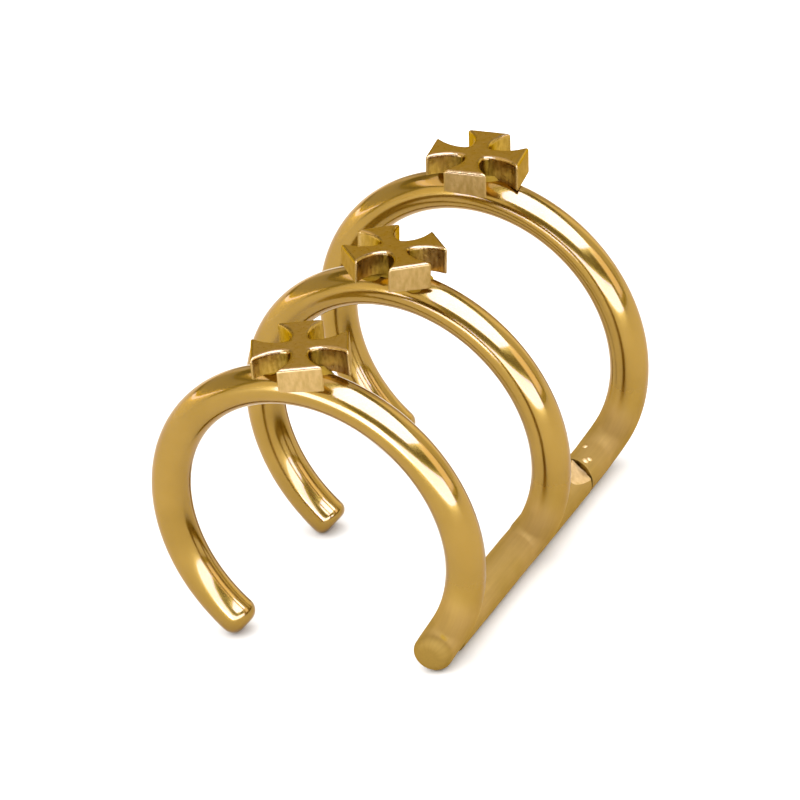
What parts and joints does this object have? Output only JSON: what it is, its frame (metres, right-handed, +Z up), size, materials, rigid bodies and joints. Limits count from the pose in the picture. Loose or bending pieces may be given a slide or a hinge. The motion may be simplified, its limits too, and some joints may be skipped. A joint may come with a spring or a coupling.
{
  "type": "ear cuff",
  "caption": "Open ear cuff of parallel C-shaped wire rings on one straight back bar, each ring crowned with a small flared cross.",
  "frame": {"origin": "middle of the footprint, on the surface that the cuff lies on", "axes": "+Z up, away from the open side of the rings; +Y along the rings' common axis and the back bar, from the front ring to the back ring; +X towards the back bar"},
  "size_m": [0.0112, 0.0148, 0.0106],
  "materials": {
    "polished_wire": "gold-coloured plating, polished round wire",
    "cast_cross": "gold-coloured plating over a satin casting"
  },
  "bodies": {
    "root": {"cuff_frame": "polished_wire", "cross_front": "cast_cross", "cross_middle": "cast_cross", "cross_back": "cast_cross"}
  },
  "joints": []
}
